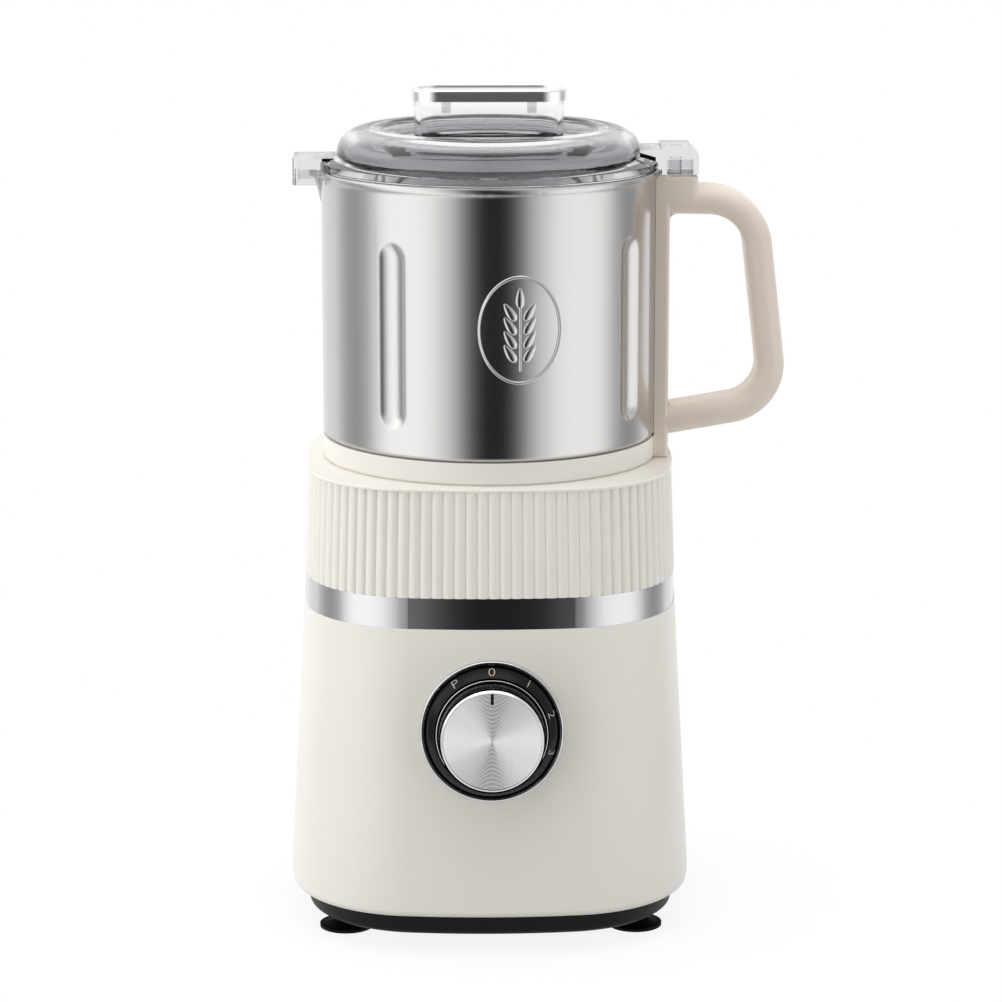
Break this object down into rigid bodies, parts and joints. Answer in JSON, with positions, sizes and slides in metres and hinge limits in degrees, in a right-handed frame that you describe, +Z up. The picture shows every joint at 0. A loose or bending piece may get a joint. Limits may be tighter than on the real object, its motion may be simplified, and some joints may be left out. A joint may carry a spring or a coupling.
{
  "type": "electric grain grinder",
  "caption": "Counter-top electric grain grinder: rounded motor base with speed dial, fluted steel jug with handle, bladed floor and clear lift-off lid.",
  "frame": {"origin": "on the counter under the motor shaft, midway between the four feet", "axes": "+Z up; the dial faces -Y; the handle is at +X and the spout at -X"},
  "size_m": [0.1939, 0.1782, 0.324],
  "materials": {
    "cream_plastic": "smooth cream moulding",
    "handle_plastic": "smooth cream moulding, a little warmer",
    "bright_chrome": "mirror plate",
    "jug_steel": "finely brushed round the jug",
    "black_plastic": "matt black",
    "black_gloss": "gloss black",
    "spun_aluminium": "turned face",
    "foot_rubber": "soft black",
    "clear_plastic": "clear moulding",
    "seal_silicone": "milky",
    "machined_steel": "machined",
    "motor_iron": "stacked sheets",
    "copper_wire": "varnished copper",
    "bracket_alloy": "die cast",
    "carbon": "pressed carbon",
    "bush_bronze": "sintered",
    "white_plastic": "natural"
  },
  "bodies": {
    "base": {"base_shell": "cream_plastic", "trim_band": "bright_chrome", "ribbed_collar": "cream_plastic", "base_plate": "black_plastic", "foot_front_left": "foot_rubber", "foot_front_right": "foot_rubber", "foot_rear_left": "foot_rubber", "foot_rear_right": "foot_rubber", "plate_screws": "machined_steel", "cord_gland": "black_plastic", "bezel_trim": "bright_chrome", "dial_bezel": "black_gloss", "speed_switch": "black_plastic", "switch_nut": "machined_steel", "interlock_switch": "black_plastic", "stator_core": "motor_iron", "field_coils": "copper_wire", "motor_top_bracket": "bracket_alloy", "motor_bottom_bracket": "bracket_alloy", "top_bearing": "machined_steel", "bottom_bearing": "machined_steel", "motor_bolts": "machined_steel", "motor_mounts": "foot_rubber", "mount_screws": "machined_steel", "carbon_brushes": "carbon", "brush_holders": "black_plastic"},
    "rotor": {"motor_shaft": "machined_steel", "armature": "motor_iron", "commutator": "copper_wire", "cooling_fan": "black_plastic", "drive_coupling": "white_plastic"},
    "knob": {"knob_spindle": "machined_steel", "knob_body": "black_gloss", "knob_ring": "bright_chrome", "knob_face": "spun_aluminium", "knob_pointer": "black_plastic"},
    "button": {"interlock_button": "white_plastic"},
    "jug": {"jug_shell": "jug_steel", "jug_base": "cream_plastic", "bearing_housing": "bracket_alloy", "housing_gasket": "foot_rubber", "housing_nut": "machined_steel", "blade_bushes": "bush_bronze", "shaft_seal": "foot_rubber", "handle": "handle_plastic", "handle_studs": "machined_steel", "handle_screws": "machined_steel"},
    "blade": {"blade_shaft": "machined_steel", "blade_spacer": "machined_steel", "lower_blade": "machined_steel", "upper_blade": "machined_steel", "blade_nut": "machined_steel", "driven_coupling": "white_plastic"},
    "rod": {"push_rod": "white_plastic", "rod_spring": "machined_steel"},
    "lid": {"lid_cover": "clear_plastic", "lid_seal": "seal_silicone", "lid_cap": "bright_chrome"}
  },
  "joints": [
    {"name": "knob_turn", "type": "hinge", "parent": "base", "child": "knob", "pos_m": [0, -0.07508, 0.0881], "axis": [0, 0.9984, -0.056], "range_deg": [-36, 108]},
    {"name": "rotor_spin", "type": "hinge", "parent": "base", "child": "rotor", "pos_m": [0, 0, 0.1], "axis": [0, 0, 1], "continuous": true},
    {"name": "button_rise", "type": "slide", "parent": "base", "child": "button", "axis": [0, 0, 1], "range_m": [0, 0.0015]},
    {"name": "jug_lift", "type": "slide", "parent": "base", "child": "jug", "axis": [0, 0, 1], "range_m": [0, 0.15]},
    {"name": "blade_spin", "type": "hinge", "parent": "jug", "child": "blade", "pos_m": [0, 0, 0.2], "axis": [0, 0, 1], "continuous": true},
    {"name": "lid_lift", "type": "slide", "parent": "jug", "child": "lid", "axis": [0, 0, 1], "range_m": [0, 0.12]},
    {"name": "rod_rise", "type": "slide", "parent": "jug", "child": "rod", "axis": [0, 0, 1], "range_m": [0, 0.003], "deforming": ["rod_spring"]}
  ],
  "couplings": [
    {"joint": "blade_spin", "follows": "rotor_spin", "ratio": 1},
    {"joint": "rod_rise", "follows": "lid_lift", "ratio": 0.025},
    {"joint": "button_rise", "follows": "jug_lift", "ratio": 0.01}
  ]
}
